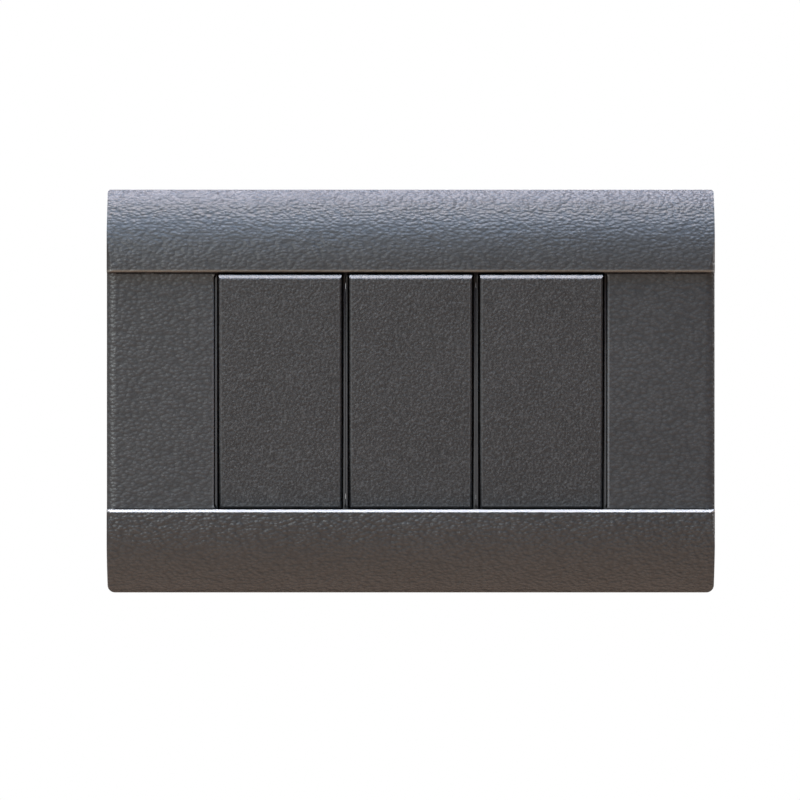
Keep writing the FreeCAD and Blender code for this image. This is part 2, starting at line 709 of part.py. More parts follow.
def clamp_plates():
    """The two plates that the terminal screws press on the wires."""
    plate = block((-CLAMP_HALF_WIDTH, CLAMP_HALF_WIDTH), CLAMP_Y, CLAMP_Z)
    below = Vector(0, TERMINAL_SCREW_Y, CLAMP_Z[0] - 1.0)
    above = Vector(0, TERMINAL_SCREW_Y, CLAMP_Z[1] + 1.0)
    hole = rod(TERMINAL_NECK_RADIUS, below, above)
    return Part.makeCompound(both_ends(plate.cut(hole)))


def terminal_screw():
    """The upper terminal screw, backed off, with its neck held in the clamp plate."""
    def level(z):
        return Vector(0, TERMINAL_SCREW_Y, z)

    neck = rod(TERMINAL_NECK_RADIUS, level(CLAMP_Z[0]), level(CLAMP_Z[1] + 0.5))
    shank = rod(TERMINAL_SCREW_RADIUS, level(CLAMP_Z[1]), level(TERMINAL_HEAD_Z[0] + 0.5))
    head = rod(TERMINAL_HEAD_RADIUS, level(TERMINAL_HEAD_Z[0]), level(TERMINAL_HEAD_Z[1]))
    across = (TERMINAL_SCREW_Y - 4.0, TERMINAL_SCREW_Y + 4.0)
    slot = block((-0.4, 0.4), across, (TERMINAL_HEAD_Z[1] - 0.9, TERMINAL_HEAD_Z[1] + 1.0))
    return fuse([neck, shank, head]).cut(slot)


def terminal_screws():
    """Both terminal screws of a switch as one group."""
    return Part.makeCompound(both_ends(terminal_screw()))


def pivot_lug():
    """The open bearing on the right side wall that the cradle's trunnion snaps into."""
    post = block(LUG_X, (-LUG_TIP, LUG_FOOT), (-LUG_HALF_HEIGHT, LUG_HALF_HEIGHT))
    height = (-LUG_HALF_HEIGHT, LUG_HALF_HEIGHT)
    foot = block((LUG_X[0], BODY_HALF_WIDTH - 0.2), (-1.2, LUG_FOOT), height)
    near = Vector(LUG_X[0] - 1.0, -PIVOT_DEPTH, 0)
    far = Vector(LUG_X[1] + 1.0, -PIVOT_DEPTH, 0)
    seat = rod(TRUNNION_RADIUS + LUG_CLEARANCE, near, far)
    return fuse([post, foot]).cut(seat)


def wire_entry():
    """The upper wire entry through the rear cover, with its funnelled mouth."""
    half = CAGE_HALF_WIDTH - CAGE_WALL
    height = (CAGE_Z[0] + CAGE_WALL, CAGE_Z[1] - CAGE_WALL)
    straight = block((-half, half), (REAR_COVER_Y[0] - 1.0, REAR_COVER_Y[1] + 1.0), height)
    middle = (height[0] + height[1]) / 2
    mouth = funnel(half, (height[1] - height[0]) / 2).translated(Vector(0, 0, middle))
    return fuse([straight, mouth])


def funnel(half_x, half_z):
    """A tapered mouth that opens towards the rear cover's outer face."""
    def loop(y, grow):
        x = half_x + grow
        z = half_z + grow
        corners = [Vector(-x, y, -z), Vector(x, y, -z), Vector(x, y, z), Vector(-x, y, z)]
        return Part.makePolygon(corners + corners[:1])

    outer = REAR_COVER_Y[1]
    loops = [loop(outer - ENTRY_FUNNEL, 0.0), loop(outer + 0.2, ENTRY_FUNNEL + 0.2)]
    return Part.makeLoft(loops, True, True)


def switch_body():
    """The housing: a tube of four walls with the snap teeth, the lugs and the rocker's stop."""
    depth = (-FRAME_FRONT, BODY_REAR)
    shell = rounded_block(BODY_HALF_WIDTH, depth, BODY_HALF_HEIGHT, BODY_CORNER)
    inside = (-FRAME_FRONT - 1.0, BODY_REAR + 1.0)
    shell = shell.cut(centred(BODY_HALF_WIDTH - BODY_WALL, inside, BODY_HALF_HEIGHT - BODY_WALL))
    span = (0.5 - BODY_HALF_WIDTH, BODY_HALF_WIDTH - 0.5)
    stop_bar = block(span, STOP_BAR_Y, STOP_BAR_Z)
    tooth = snap_tooth(0.0, (-SNAP_DEPTH, 0.0))
    shell = fuse([shell, stop_bar] + both_ends(tooth) + both_sides(pivot_lug()))
    well = rod(
        TERMINAL_WELL_RADIUS,
        Vector(0, TERMINAL_SCREW_Y, BODY_HALF_HEIGHT - BODY_WALL - 0.5),
        Vector(0, TERMINAL_SCREW_Y, BODY_HALF_HEIGHT + 1.0),
    )
    half_groove = BODY_GROOVE_WIDTH / 2
    floor = BODY_HALF_HEIGHT - BODY_GROOVE_DEPTH
    grooves = [
        block((x - half_groove, x + half_groove), (2.0, BODY_REAR - 2.0), (floor, BODY_HALF_HEIGHT + 1.0))
        for x in BODY_GROOVE_X
    ]
    for upper in [well] + grooves:
        for piece in both_ends(upper):
            shell = shell.cut(piece)
    return shell


def rear_cover():
    """The housing's rear half: a plate with the wire entries and the walls of the terminal cells."""
    plate = rounded_block(BODY_HALF_WIDTH, REAR_COVER_Y, BODY_HALF_HEIGHT, BODY_CORNER)
    half_width = BODY_HALF_WIDTH - BODY_WALL - REAR_COVER_GAP
    top = BODY_HALF_HEIGHT - BODY_WALL - REAR_COVER_GAP
    cell_y = (PARTITION_FRONT, REAR_COVER_Y[0])
    partition = block((-half_width, half_width), cell_y, PARTITION_Z)
    cell_walls = both_sides(block(CELL_WALL_X, cell_y, (PARTITION_Z[1], top)))
    rib_y = (REAR_COVER_Y[1] - 0.5, REAR_COVER_Y[1] + REAR_RIB_HEIGHT)
    rib = centred(REAR_RIB_HALF_WIDTH, rib_y, REAR_RIB_HALF_HEIGHT)
    shape = fuse([plate, rib] + both_ends(fuse([partition] + cell_walls)))
    middle = (CAGE_Z[0] + CAGE_Z[1]) / 2
    test_hole = rod(
        TEST_HOLE_RADIUS,
        Vector(TEST_HOLE_X, REAR_COVER_Y[1] - 0.8, middle),
        Vector(TEST_HOLE_X, REAR_COVER_Y[1] + 1.0, middle),
    )
    for piece in both_ends(wire_entry()) + both_ends(test_hole):
        shape = shape.cut(piece)
    return shape


MODULE_PARTS = {
    "key": key,
    "bezel": bezel,
    "switch_body": switch_body,
    "rear_cover": rear_cover,
    "cradle": cradle,
    "plunger": plunger,
    "plunger_spring": plunger_spring,
    "contact_rocker": contact_rocker,
    "moving_contact": moving_contact,
    "fixed_contact": fixed_contact,
    "common_terminal": common_terminal,
    "switched_terminal": switched_terminal,
    "clamp_plates": clamp_plates,
    "terminal_screws": terminal_screws,
}


def module_positions():
    """X of each module's middle, from left to right."""
    return [MODULE_PITCH * (index - 1) for index in range(len(MODULE_NAMES))]


def save(name, shape):
    """Write one node's STEP file."""
    shape.exportStep(os.path.join("parts", name + ".step"))


os.makedirs("parts", exist_ok=True)
save("cover_plate", cover_plate())
save("mounting_frame", mounting_frame())
save("box_screws", box_screws())
for part_name, build in MODULE_PARTS.items():
    shape = build()
    for module_name, position in zip(MODULE_NAMES, module_positions()):
        save(part_name + "_" + module_name, shape.translated(Vector(position, 0, 0)))
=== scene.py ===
import json
import math

import bmesh
import bpy
from mathutils import Matrix, Vector


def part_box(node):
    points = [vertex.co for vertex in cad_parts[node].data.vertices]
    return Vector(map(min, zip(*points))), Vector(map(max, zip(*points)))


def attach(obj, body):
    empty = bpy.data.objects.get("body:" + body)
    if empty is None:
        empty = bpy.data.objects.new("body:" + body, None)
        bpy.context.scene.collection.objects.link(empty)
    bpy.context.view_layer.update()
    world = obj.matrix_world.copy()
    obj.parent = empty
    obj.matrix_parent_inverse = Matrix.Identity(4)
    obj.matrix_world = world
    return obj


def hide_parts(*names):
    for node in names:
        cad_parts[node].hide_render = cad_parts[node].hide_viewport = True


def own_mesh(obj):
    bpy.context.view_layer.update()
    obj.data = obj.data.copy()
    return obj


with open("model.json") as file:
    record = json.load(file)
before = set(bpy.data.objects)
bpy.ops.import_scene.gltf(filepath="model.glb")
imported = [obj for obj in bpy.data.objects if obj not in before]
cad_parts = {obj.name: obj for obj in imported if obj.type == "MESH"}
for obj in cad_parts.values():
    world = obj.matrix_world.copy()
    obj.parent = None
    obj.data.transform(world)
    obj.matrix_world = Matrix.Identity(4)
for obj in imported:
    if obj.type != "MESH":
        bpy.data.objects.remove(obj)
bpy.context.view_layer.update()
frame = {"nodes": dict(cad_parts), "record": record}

MM = 0.001
MODULES = ("left", "middle", "right")

# Camera: straight on to the plate's front.
CAMERA_DISTANCE = 1.3
IMAGE_WIDTH_AT_RIM = 0.15336
RIM_PLANE_Y = -0.00735
CAMERA_OFFSET = (-0.00206, -0.00172)
SENSOR_WIDTH = 36.0

# Stage: the colours that the camera sees, and the dimmer ones that light the object
FLOOR_Z = -1.5
FLOOR_RADIUS = 9.0
FLOOR_SIDES = 96
PAPER_DARK = (0.84, 0.68, 0.5, 1.0)
PAPER_LIGHT = (0.88, 0.72, 0.54, 1.0)
PAPER_SEEN = (0.86, 0.88, 0.88, 1.0)
PAPER_BOUNCE = (0.52, 0.38, 0.33, 1.0)
WORLD_SEEN = (1.0, 1.0, 1.0, 1.0)
WORLD_BOUNCE = (0.06, 0.045, 0.04, 1.0)

# Lights: name, place, width and height, power, colour
LIGHTS = (
    ("overhead", (-0.06, -0.05, 0.95), (0.9, 0.3), 12.0, (1.0, 0.94, 1.0)),
    ("over_front", (-0.1, -0.45, 0.9), (0.9, 0.3), 6.0, (0.3, 0.6, 1.0)),
    ("front_fill", (-0.45, -0.6, 0.3), (0.4, 0.4), 4.6, (0.95, 1.0, 0.99)),
    ("rear_fill", (0.5, 1.2, 0.6), (0.8, 0.8), 16.0, (1.0, 1.0, 1.0)),
    ("right_rear", (1.1, 0.35, 0.3), (0.6, 0.6), 5.0, (1.0, 1.0, 1.0)),
)

# Where the edges get painted highlights (the lower bevel is also smoother), and where the rims get
# painted light at the top and painted shade at the bottom
LOWER_BEVEL_Z = -22.94 * MM
LOWER_BEVEL_REACH = (0.28 * MM, 0.2 * MM)
UPPER_BAND_EDGE_Z = 22.98 * MM
UPPER_BAND_REACH = (0.3 * MM, 0.12 * MM)
OPENING_EDGE_X = 37.85 * MM
OPENING_EDGE_REACH = (0.24 * MM, 0.14 * MM)
PANEL_HALF_HEIGHT = 22.3 * MM
TOP_RIM_Z = (34.3 * MM, 38.3 * MM)
BOTTOM_RIM_DROP = (37.7 * MM, 38.5 * MM)

# Cover's grain: its sizes, depth, and how its strength grows outwards and below the middle
GRAIN_STRETCH = (0.62, 1.0, 1.0)
PEBBLE_SIZE = 0.56 * MM
WANDER_SIZE = 1.7 * MM
FINE_SIZE = 0.24 * MM
GRAIN_DEPTH = 0.17 * MM
GRAIN_STRENGTH = (0.55, 1.3)
CROWN_GRAIN_Z = (31.0 * MM, 37.5 * MM)
LOWER_GRAIN_GAIN = 0.6
LOWER_GRAIN_DROP = (22.0 * MM, 24.0 * MM)
CLOUD_SIZE = 14 * MM

# Keys: one pitch apart, bevelled along their edges
KEY_PITCH = 25.0 * MM
KEY_SIDE_EDGE = 11.37 * MM
KEY_TOP_EDGE = 21.67 * MM
KEY_BOTTOM_EDGE = -22.05 * MM
KEY_EDGE_REACH = (0.26 * MM, 0.08 * MM)


# ---------------------------------------------------------------- node helpers


class Graph:
    """A material's node tree, with short calls for the nodes used here."""

    def __init__(self, name):
        self.material = bpy.data.materials.new(name)
        self.material.use_nodes = True
        self.tree = self.material.node_tree
        self.tree.nodes.clear()
        self.output = self.tree.nodes.new("ShaderNodeOutputMaterial")
        self.shader = self.tree.nodes.new("ShaderNodeBsdfPrincipled")
        self.tree.links.new(self.shader.outputs[0], self.output.inputs[0])
        coordinates = self.tree.nodes.new("ShaderNodeTexCoord")
        self.position = coordinates.outputs["Object"]

    def node(self, kind, **values):
        """A new node, with its inputs set or linked by name and its other values set."""
        made = self.tree.nodes.new(kind)
        for key, value in values.items():
            if key.startswith("in_"):
                label = key[3:].replace("_", " ")
                self.feed(made.inputs[int(label) if label.isdigit() else label], value)
            else:
                setattr(made, key, value)
        return made

    def feed(self, socket, value):
        """Link a socket to another node's output, or set its own value."""
        if isinstance(value, bpy.types.NodeSocket):
            self.tree.links.new(value, socket)
        else:
            socket.default_value = value

    def set(self, name, value):
        """Set or link one of the shader's own sockets."""
        self.feed(self.shader.inputs[name], value)

    def maths(self, operation, first, second=0.0, third=0.0, clamp=False):
        made = self.node("ShaderNodeMath", operation=operation, use_clamp=clamp)
        for socket, value in zip(made.inputs, (first, second, third)):
            self.feed(socket, value)
        return made.outputs[0]

    def ramp(self, value, low, high, start=0.0, end=1.0, smooth=True):
        """The value's range low to high mapped to start to end."""
        made = self.node(
            "ShaderNodeMapRange", interpolation_type="SMOOTHSTEP" if smooth else "LINEAR", clamp=True
        )
        for name, number in (("From Min", low), ("From Max", high), ("To Min", start), ("To Max", end)):
            made.inputs[name].default_value = number
        self.feed(made.inputs["Value"], value)
        return made.outputs["Result"]

    def mix(self, share, first, second):
        """A colour part way between two."""
        made = self.node("ShaderNodeMix", data_type="RGBA")
        self.feed(made.inputs[0], share)
        self.feed(made.inputs[6], first)
        self.feed(made.inputs[7], second)
        return made.outputs[2]

    def noise(self, size, detail=2.0, roughness=0.5, vector=None):
        """Noise between 0 and 1 with features about size metres across."""
        made = self.node("ShaderNodeTexNoise", in_Detail=detail, in_Roughness=roughness)
        made.inputs["Scale"].default_value = 1.0 / size
        self.feed(made.inputs["Vector"], vector or self.position)
        return made.outputs["Fac"]

    def cells(self, size, smoothness=0.6, vector=None):
        """Soft round cells about size metres across."""
        made = self.node("ShaderNodeTexVoronoi", feature="SMOOTH_F1")
        made.inputs["Scale"].default_value = 1.0 / size
        made.inputs["Smoothness"].default_value = smoothness
        self.feed(made.inputs["Vector"], vector or self.position)
        return made.outputs["Distance"]

    def near(self, value, place, reach):
        """1 where the value is close to a place, falling to 0; reach gives both distances."""
        distance = self.maths("ABSOLUTE", self.maths("SUBTRACT", value, place))
        return self.ramp(distance, reach[0], reach[1])

    def bump(self, height, depth, strength=1.0, normal=None):
        """A normal from a height between 0 and 1, with its depth in metres."""
        made = self.node("ShaderNodeBump")
        self.feed(made.inputs["Strength"], strength)
        made.inputs["Distance"].default_value = depth
        self.feed(made.inputs["Height"], height)
        if normal is not None:
            self.feed(made.inputs["Normal"], normal)
        return made.outputs["Normal"]

    def axis(self, name):
        """One coordinate of the position in the row frame, in metres."""
        made = self.node("ShaderNodeSeparateXYZ", in_0=self.position)
        return made.outputs[name]


def grey(level, tint=(0.0, 0.0, 0.0)):
    """An opaque colour near grey."""
    return (level + tint[0], level + tint[1], level + tint[2], 1.0)


# ---------------------------------------------------------------- materials

COVER_DARK = grey(0.056)
COVER_LIGHT = grey(0.064)
COVER_HOLLOW = grey(0.03)
# painted light: the top rim paler, as if lit from above
TOP_RIM_PAINTED_LIGHT = grey(0.15, (0.0, -0.002, 0.012))
# painted shade: the bottom rim darker, as if in shade
BOTTOM_RIM_PAINTED_SHADE = grey(0.022)
# painted reflection: warm highlight along the upper band's lower edge, where it faces the floor
BAND_EDGE_PAINTED_HIGHLIGHT = (0.17, 0.15, 0.125, 1.0)
# painted highlight along the opening's side edges
OPENING_EDGE_PAINTED_HIGHLIGHT = grey(0.15)
# painted highlight along the lower band's upper bevel
LOWER_BEVEL_PAINTED_HIGHLIGHT = grey(0.46)

KEY_DARK = grey(0.033)
KEY_LIGHT = grey(0.038)
KEY_SPECK = grey(0.1)
# painted highlight along the keys' side and bottom edges
KEY_EDGE_PAINTED_HIGHLIGHT = grey(0.1)
# painted highlight on the keys' top bevel, cool like the light above
KEY_BEVEL_PAINTED_HIGHLIGHT = (0.1, 0.115, 0.125, 1.0)
KEY_GRAIN_SIZE = 0.5 * MM
KEY_PIT_SIZE = 0.55 * MM
KEY_GRAIN_DEPTH = 0.13 * MM
KEY_CLOUD_SIZE = 11 * MM
KEY_BEVEL_BLEND = 0.1 * MM


def cover_material():
    """Anthracite moulding with a coarse leather grain, smoother along the lower band's bevel, with
    painted highlights along its edges.

    It also has painted light towards its top rim and painted shade at its bottom rim.
    """
    g = Graph("cover_plastic")
    stretched = g.node("ShaderNodeMapping", in_Vector=g.position, in_Scale=GRAIN_STRETCH).outputs[0]
    pebble = g.cells(PEBBLE_SIZE, 0.3, stretched)
    wander = g.noise(WANDER_SIZE, 2.0, 0.5, stretched)
    fine = g.noise(FINE_SIZE, 3.0, 0.6)
    height = g.maths("MULTIPLY_ADD", pebble, -1.0, g.maths("MULTIPLY_ADD", fine, 0.25, wander))
    x, z = g.axis("X"), g.axis("Z")
    lower = g.near(z, LOWER_BEVEL_Z, LOWER_BEVEL_REACH)
    upper = g.near(z, UPPER_BAND_EDGE_Z, UPPER_BAND_REACH)
    beside = g.near(g.maths("ABSOLUTE", x), OPENING_EDGE_X, OPENING_EDGE_REACH)
    level = g.maths("LESS_THAN", g.maths("ABSOLUTE", z), PANEL_HALF_HEIGHT)
    sides = g.maths("MULTIPLY", beside, level)
    outward = g.ramp(g.maths("ABSOLUTE", z), *CROWN_GRAIN_Z, *GRAIN_STRENGTH)
    below = g.maths("MULTIPLY", z, -1.0)
    strength = g.maths("ADD", outward, g.ramp(below, *LOWER_GRAIN_DROP, 0.0, LOWER_GRAIN_GAIN))
    g.set("Normal", g.bump(height, GRAIN_DEPTH, g.maths("MULTIPLY_ADD", lower, -0.9, strength)))
    cloud = g.noise(CLOUD_SIZE, 2.0)
    body = g.mix(g.ramp(cloud, 0.3, 0.7), COVER_DARK, COVER_LIGHT)
    hollow = g.ramp(pebble, 0.3, 0.7)
    grained = g.mix(g.maths("MULTIPLY", hollow, 0.5), body, COVER_HOLLOW)
    # painted light towards the top rim
    top_rim = g.ramp(z, *TOP_RIM_Z, 0.0, 0.9)
    # painted shade at the bottom rim
    bottom_rim = g.ramp(below, *BOTTOM_RIM_DROP, 0.0, 0.7)
    rimmed = g.mix(bottom_rim, g.mix(top_rim, grained, TOP_RIM_PAINTED_LIGHT), BOTTOM_RIM_PAINTED_SHADE)
    # painted reflection along the upper band's lower edge
    edge_highlighted = g.mix(g.maths("MULTIPLY", upper, 0.95), rimmed, BAND_EDGE_PAINTED_HIGHLIGHT)
    # painted highlight along the opening's side edges
    edge_highlighted = g.mix(g.maths("MULTIPLY", sides, 0.9), edge_highlighted, OPENING_EDGE_PAINTED_HIGHLIGHT)
    # painted highlight on the lower band's bevel, which is also smoother below
    g.set("Base Color", g.mix(lower, edge_highlighted, LOWER_BEVEL_PAINTED_HIGHLIGHT))
    rough = g.ramp(fine, 0.25, 0.8, 0.34, 0.5)
    g.set("Roughness", g.maths("MULTIPLY_ADD", lower, -0.2, rough))
    g.shader.inputs["Specular IOR Level"].default_value = 0.55
    return g.material


def key_material():
    """The keys' darker plastic with a much finer grain, with painted highlights along their edges and
    top bevel, where it is also smoother.
    """
    g = Graph("key_plastic")
    grain = g.noise(KEY_GRAIN_SIZE, 3.0, 0.75)
    pits = g.cells(KEY_PIT_SIZE, 0.4)
    height = g.maths("MULTIPLY_ADD", pits, -0.6, grain)
    x, z = g.axis("X"), g.axis("Z")
    half = KEY_PITCH / 2
    across = g.maths("ABSOLUTE", g.maths("WRAP", x, half, -half))
    top_bevel = g.ramp(z, KEY_TOP_EDGE - KEY_BEVEL_BLEND, KEY_TOP_EDGE)
    sides = g.near(across, KEY_SIDE_EDGE, KEY_EDGE_REACH)
    bottom = g.near(z, KEY_BOTTOM_EDGE, KEY_EDGE_REACH)
    g.set("Normal", g.bump(height, KEY_GRAIN_DEPTH, g.maths("MULTIPLY_ADD", top_bevel, -0.8, 1.0)))
    cloud = g.noise(KEY_CLOUD_SIZE, 2.0)
    body = g.mix(g.ramp(cloud, 0.3, 0.7), KEY_DARK, KEY_LIGHT)
    speck = g.ramp(grain, 0.46, 0.7)
    grained = g.mix(g.maths("MULTIPLY", speck, 0.75), body, KEY_SPECK)
    edges = g.maths("MAXIMUM", sides, bottom)
    # painted highlight along the key's sides and bottom edge
    edge_highlighted = g.mix(g.maths("MULTIPLY", edges, 0.4), grained, KEY_EDGE_PAINTED_HIGHLIGHT)
    # painted highlight on the top bevel, which is also smoother
    g.set("Base Color", g.mix(g.maths("MULTIPLY", top_bevel, 0.7), edge_highlighted, KEY_BEVEL_PAINTED_HIGHLIGHT))
    rough = g.ramp(grain, 0.3, 0.7, 0.38, 0.5)
    g.set("Roughness", g.maths("MULTIPLY_ADD", top_bevel, -0.14, rough))
    g.shader.inputs["Specular IOR Level"].default_value = 0.5
    return g.material


def moulded_material(name, level, tint, rough, grain=0.5 * MM, depth=0.02 * MM, coat=0.0):
    """Plain moulded plastic with a faint grain, flow clouds and dust in its roughness."""
    g = Graph(name)
    texture = g.noise(grain, 3.0, 0.6)
    flow = g.noise(6 * MM, 2.0)
    g.set("Normal", g.bump(texture, depth, 0.6))
    body = g.mix(g.ramp(flow, 0.3, 0.7), grey(level * 0.93, tint), grey(level * 1.06, tint))
    g.set("Base Color", g.mix(g.maths("MULTIPLY", texture, 0.12), body, grey(level * 1.5, tint)))
    g.set("Roughness", g.ramp(texture, 0.25, 0.75, rough - 0.06, rough + 0.06))
    g.shader.inputs["Coat Weight"].default_value = coat
    return g.material


def metal_material(name, colour, dark, rough, streak=(1.0, 1.0, 1.0)):
    """Worn metal with drawn streaks, a slight tarnish and fine scratches."""
    g = Graph(name)
    mapping = g.node("ShaderNodeMapping", in_Vector=g.position, in_Scale=streak)
    drawn = g.noise(0.35 * MM, 4.0, 0.65, mapping.outputs[0])
    tarnish = g.noise(2.4 * MM, 3.0)
    g.set("Base Color", g.mix(g.ramp(tarnish, 0.45, 0.75, 0.0, 0.6), colour, dark))
    g.set("Roughness", g.ramp(drawn, 0.3, 0.7, rough - 0.07, rough + 0.1))
    g.set("Normal", g.bump(drawn, 0.012 * MM, 0.5))
    g.shader.inputs["Metallic"].default_value = 1.0
    return g.material


MATERIALS = {
    "cover_plate": cover_material(),
    "key": key_material(),
    "bezel": moulded_material("bezel_plastic", 0.056, (0, 0, 0), 0.5, 0.35 * MM, 0.03 * MM),
    "mounting_frame": moulded_material("frame_plastic", 0.035, (0, 0, 0.001), 0.55, 0.6 * MM),
    "switch_body": moulded_material("housing_plastic", 0.1, (0, 0.002, 0.006), 0.5),
    "rear_cover": moulded_material("rear_plastic", 0.5, (0, 0, -0.02), 0.45),
    "cradle": moulded_material("cradle_plastic", 0.62, (0, -0.01, -0.04), 0.4, coat=0.1),
    "plunger": moulded_material("plunger_plastic", 0.75, (0, -0.01, -0.03), 0.25, coat=0.3),
    "steel": metal_material("zinc_steel", grey(0.62), grey(0.4, (0.03, 0.02, 0)), 0.32),
    "spring": metal_material("spring_steel", grey(0.5), grey(0.3), 0.25, (1, 0.2, 0.2)),
    "brass": metal_material("brass", (0.78, 0.56, 0.24, 1), (0.5, 0.33, 0.13, 1), 0.28, (1, 0.15, 1)),
    "silver": metal_material("contact_silver", (0.86, 0.84, 0.8, 1), (0.6, 0.57, 0.52, 1), 0.22),
}

NODE_MATERIALS = {
    "cover_plate": "cover_plate",
    "mounting_frame": "mounting_frame",
    "key": "key",
    "bezel": "bezel",
    "switch_body": "switch_body",
    "rear_cover": "rear_cover",
    "cradle": "cradle",
    "plunger": "plunger",
    "plunger_spring": "spring",
    "contact_rocker": "brass",
    "common_terminal": "brass",
    "switched_terminal": "brass",
    "moving_contact": "silver",
    "fixed_contact": "silver",
    "clamp_plates": "steel",
    "terminal_screws": "steel",
    "box_screws": "steel",
}


def family(node):
    """A node's name without the module it belongs to."""
    for module in MODULES:
        if node.endswith("_" + module):
            return node[: -len(module) - 1]
    return node


for node_name, node_object in frame["nodes"].items():
    node_object.data.materials.clear()
    node_object.data.materials.append(MATERIALS[NODE_MATERIALS[family(node_name)]])


# ---------------------------------------------------------------- threaded box screws

THREAD_SEGMENTS = 40
THREAD_PITCH = 0.6 * MM
THREAD_ROWS_PER_TURN = 8
THREAD_START = 0.5 * MM
THREAD_DEPTH = 0.34 * MM
CREST_GAIN = 1.3
TIP_LENGTH = 0.8 * MM
TIP_RADIUS = 1.0 * MM
NECK_RADIUS = 1.25 * MM
HEAD_RADIUS = 3.3 * MM
HEAD_SEAT = -2.2 * MM
HEAD_RIM = 0.95 * MM
HEAD_STEPS = 9
RECESS_DEPTH = 1.5 * MM
RECESS_TURNS = {"box_screw_left": 22.0, "box_screw_right": -37.0}
SMOOTH_ANGLE = math.radians(38)


def smoothed(mesh):
    """Smooth shading with creases kept where faces meet at a wide angle."""
    mesh.shade_smooth()
    mesh.set_sharp_from_angle(angle=SMOOTH_ANGLE)


def thread_radius(share, y, outer, tip_y):
    """The screw's radius at a share of a turn and a depth, along a rolled thread with a coned tip."""
    phase = (y / THREAD_PITCH + share) % 1.0
    rise = min(1.0, CREST_GAIN * (1.0 - abs(2.0 * phase - 1.0)))
    cone = TIP_RADIUS + (outer - TIP_RADIUS) * min(1.0, (tip_y - y) / TIP_LENGTH)
    return min(outer - THREAD_DEPTH * (1.0 - rise), cone)


def head_profile(top):
    """(radius, depth) points of the domed head, from the middle of the dome to the neck."""
    dome_height = HEAD_SEAT - HEAD_RIM - top
    points = []
    for i in range(1, HEAD_STEPS + 1):
        angle = math.radians(90.0 * i / HEAD_STEPS)
        points.append((HEAD_RADIUS * math.sin(angle), top + dome_height * (1.0 - math.cos(angle))))
    points += [(HEAD_RADIUS, HEAD_SEAT - 0.1 * MM), (HEAD_RADIUS - 0.1 * MM, HEAD_SEAT)]
    return points + [(NECK_RADIUS, HEAD_SEAT), (NECK_RADIUS, THREAD_START - 0.2 * MM)]


def screw_mesh(outer, top, tip):
    """A closed screw about the Y axis: head, neck and a helical thread."""
    bm = bmesh.new()
    shares = [i / THREAD_SEGMENTS for i in range(THREAD_SEGMENTS)]

    def ring(y, radii):
        angles = [2.0 * math.pi * share for share in shares]
        return [bm.verts.new((r * math.cos(t), y, r * math.sin(t))) for r, t in zip(radii, angles)]

    rings = [ring(y, [radius] * THREAD_SEGMENTS) for radius, y in head_profile(top)]
    step = THREAD_PITCH / THREAD_ROWS_PER_TURN
    rows = int((tip - THREAD_START) / step)
    for row in range(rows + 1):
        y = THREAD_START + (tip - THREAD_START) * row / rows
        rings.append(ring(y, [thread_radius(share, y, outer, tip) for share in shares]))
    for low, high in zip(rings, rings[1:]):
        for i in range(THREAD_SEGMENTS):
            j = (i + 1) % THREAD_SEGMENTS
            bm.faces.new((low[i], low[j], high[j], high[i]))
    for end, y in ((rings[0], top), (rings[-1], tip)):
        pole = bm.verts.new((0.0, y, 0.0))
        for i in range(THREAD_SEGMENTS):
            bm.faces.new((end[i], end[(i + 1) % THREAD_SEGMENTS], pole))
    bmesh.ops.recalc_face_normals(bm, faces=bm.faces)
    mesh = bpy.data.meshes.new("box_screw")
    bm.to_mesh(mesh)
    bm.free()
    return mesh


def cross_cutter(top):
    """A tapered cross that cuts the drive recess."""
    bm = bmesh.new()

    def outline(y, arm, half):
        quarter = [(half, half), (half, arm), (-half, arm)]
        points = []
        for turn in range(4):
            c, s = ((1, 0), (0, 1), (-1, 0), (0, -1))[turn]
            points += [(x * c - z * s, x * s + z * c) for x, z in quarter]
        return [bm.verts.new((x, y, z)) for x, z in points]

    mouth = outline(top - 0.5 * MM, 2.1 * MM, 0.45 * MM)
    floor = outline(top + RECESS_DEPTH, 0.95 * MM, 0.28 * MM)
    count = len(mouth)
    for i in range(count):
        j = (i + 1) % count
        bm.faces.new((mouth[i], mouth[j], floor[j], floor[i]))
    bm.faces.new(mouth)
    bm.faces.new(floor)
    bmesh.ops.recalc_face_normals(bm, faces=bm.faces)
    mesh = bpy.data.meshes.new("cross_cutter")
    bm.to_mesh(mesh)
    bm.free()
    return mesh


def cut(mesh, tool):
    """The mesh with a closed tool taken out of it."""
    body = bpy.data.objects.new("body", mesh)
    cutter = bpy.data.objects.new("cutter", tool)
    for made in (body, cutter):
        bpy.context.scene.collection.objects.link(made)
    modifier = body.modifiers.new("cut", "BOOLEAN")
    modifier.operation = "DIFFERENCE"
    modifier.solver = "EXACT"
    modifier.object = cutter
    bpy.context.view_layer.update()
    evaluated = body.evaluated_get(bpy.context.evaluated_depsgraph_get())
    result = bpy.data.meshes.new_from_object(evaluated)
    for made in (body, cutter):
        bpy.data.objects.remove(made)
    return result


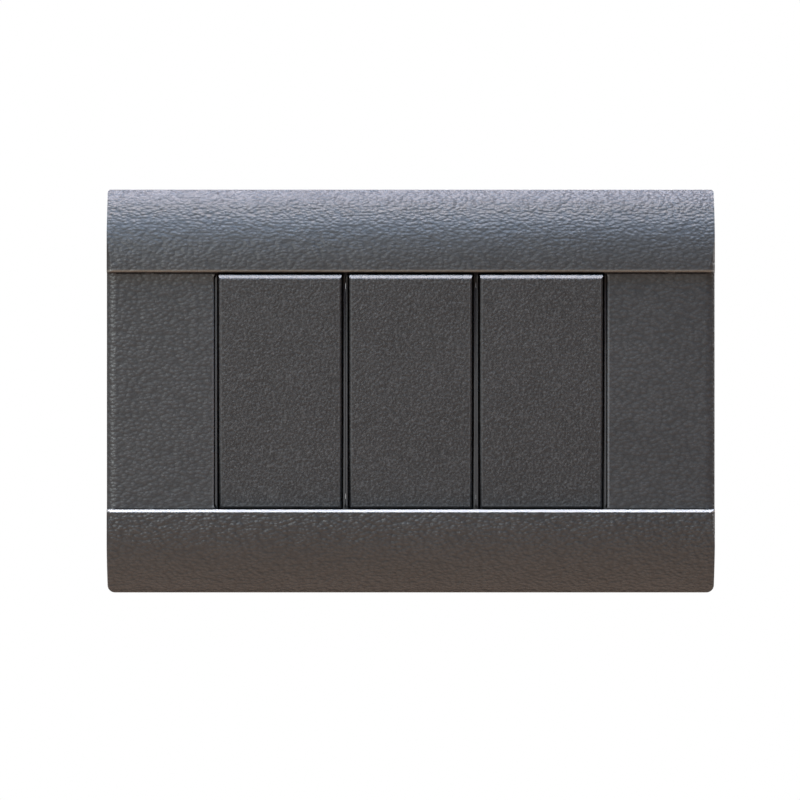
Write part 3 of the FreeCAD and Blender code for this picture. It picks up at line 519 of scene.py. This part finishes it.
def build_box_screws():
    """The two screws that hold the frame, with real threads and cross recesses."""
    low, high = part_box("box_screws")
    mounts = {mount["name"]: mount for mount in frame["record"]["mounts"]}
    outer = mounts["box_screw_left"]["dims"]["r_mm"] * MM
    single = cut(screw_mesh(outer, low[1], high[1]), cross_cutter(low[1]))
    bm = bmesh.new()
    for name, turn in RECESS_TURNS.items():
        start = len(bm.verts)
        bm.from_mesh(single)
        bm.verts.ensure_lookup_table()
        place = Vector((mounts[name]["pos_m"][0], 0.0, mounts[name]["pos_m"][2]))
        move = Matrix.Translation(place) @ Matrix.Rotation(math.radians(turn), 4, "Y")
        bmesh.ops.transform(bm, matrix=move, verts=bm.verts[start:])
    mesh = bpy.data.meshes.new("box_screws_threaded")
    bm.to_mesh(mesh)
    bm.free()
    smoothed(mesh)
    mesh.materials.clear()
    mesh.materials.append(MATERIALS["steel"])
    screws = bpy.data.objects.new("box_screws_threaded", mesh)
    bpy.context.scene.collection.objects.link(screws)
    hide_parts("box_screws")
    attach(screws, "base")


build_box_screws()


# ---------------------------------------------------------------- plunger springs


def build_plunger_springs():
    """Copies of the coil springs, each on its own mesh and carried by its module's rocker."""
    for module in MODULES:
        node = "plunger_spring_" + module
        coil = bpy.data.objects.new("plunger_coil_" + module, frame["nodes"][node].data.copy())
        bpy.context.scene.collection.objects.link(coil)
        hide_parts(node)
        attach(coil, "rocker_" + module)
        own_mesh(coil)


build_plunger_springs()


# ---------------------------------------------------------------- stage, light and camera


def stage_material():
    """Pale matt paper, faintly mottled. The camera sees it brighter than the object does."""
    g = Graph("pale_paper")
    fibre = g.noise(60 * MM, 2.0)
    g.set("Base Color", g.mix(g.ramp(fibre, 0.3, 0.7), PAPER_DARK, PAPER_LIGHT))
    seen = g.node("ShaderNodeLightPath").outputs["Is Camera Ray"]
    g.set("Emission Color", g.mix(seen, PAPER_BOUNCE, PAPER_SEEN))
    g.shader.inputs["Emission Strength"].default_value = 1.0
    g.shader.inputs["Roughness"].default_value = 0.9
    return g.material


def build_stage():
    """A round pale floor some way below the plate."""
    mesh = bpy.data.meshes.new("floor")
    bm = bmesh.new()
    bmesh.ops.create_circle(bm, cap_ends=True, segments=FLOOR_SIDES, radius=FLOOR_RADIUS)
    bmesh.ops.translate(bm, verts=bm.verts, vec=(0, 0, FLOOR_Z))
    bm.to_mesh(mesh)
    bm.free()
    mesh.materials.append(stage_material())
    floor = bpy.data.objects.new("floor", mesh)
    bpy.context.scene.collection.objects.link(floor)


def area_light(name, place, size, power, colour):
    """A rectangular soft light at a place, aimed at the plate's middle."""
    data = bpy.data.lights.new(name, "AREA")
    data.shape = "RECTANGLE"
    data.size, data.size_y = size
    data.energy = power
    data.color = colour
    light = bpy.data.objects.new(name, data)
    bpy.context.scene.collection.objects.link(light)
    light.location = place
    light.rotation_euler = (-Vector(place)).to_track_quat("-Z", "Y").to_euler()


def build_lights():
    """Two lights overhead, a dim one at the front left, two for the back, and the surround."""
    for light in LIGHTS:
        area_light(*light)
    world = bpy.data.worlds.new("studio")
    bpy.context.scene.world = world
    world.use_nodes = True
    tree = world.node_tree
    seen = tree.nodes.new("ShaderNodeLightPath").outputs["Is Camera Ray"]
    colour = tree.nodes.new("ShaderNodeMix")
    colour.data_type = "RGBA"
    tree.links.new(seen, colour.inputs[0])
    colour.inputs[6].default_value = WORLD_BOUNCE
    colour.inputs[7].default_value = WORLD_SEEN
    tree.links.new(colour.outputs[2], tree.nodes["Background"].inputs["Color"])
    tree.nodes["Background"].inputs["Strength"].default_value = 1.0


def build_camera():
    """A long-lens camera straight in front of the plate."""
    data = bpy.data.cameras.new("camera")
    data.sensor_width = SENSOR_WIDTH
    data.lens = SENSOR_WIDTH * CAMERA_DISTANCE / IMAGE_WIDTH_AT_RIM
    data.clip_start = 0.05
    data.clip_end = 20.0
    camera = bpy.data.objects.new("camera", data)
    bpy.context.scene.collection.objects.link(camera)
    camera.location = (CAMERA_OFFSET[0], RIM_PLANE_Y - CAMERA_DISTANCE, CAMERA_OFFSET[1])
    camera.rotation_euler = (math.radians(90), 0, 0)
    bpy.context.scene.camera = camera


build_stage()
build_lights()
build_camera()
bpy.context.scene.view_settings.view_transform = "Standard"
